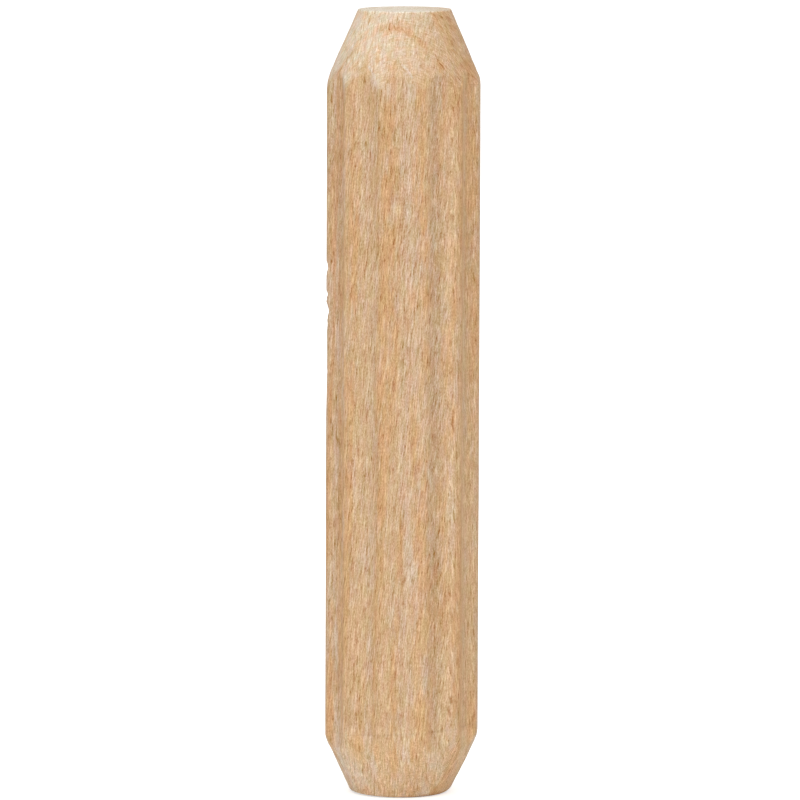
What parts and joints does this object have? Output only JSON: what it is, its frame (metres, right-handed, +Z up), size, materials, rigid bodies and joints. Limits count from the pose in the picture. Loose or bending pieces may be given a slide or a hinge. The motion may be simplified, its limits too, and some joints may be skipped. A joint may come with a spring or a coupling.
{
  "type": "dowel pin",
  "caption": "Fluted wooden dowel pin with a taper at each end, glued into matching holes to join two boards.",
  "frame": {"origin": "centre of the flat bottom end face, on which the pin stands", "axes": "+Z up along the pin to its other end; a flute faces +X, the nicks are on the -X side"},
  "size_m": [0.0078, 0.0078, 0.04],
  "materials": {
    "beech": "raw planed"
  },
  "bodies": {
    "root": {"dowel_pin": "beech"}
  },
  "joints": []
}
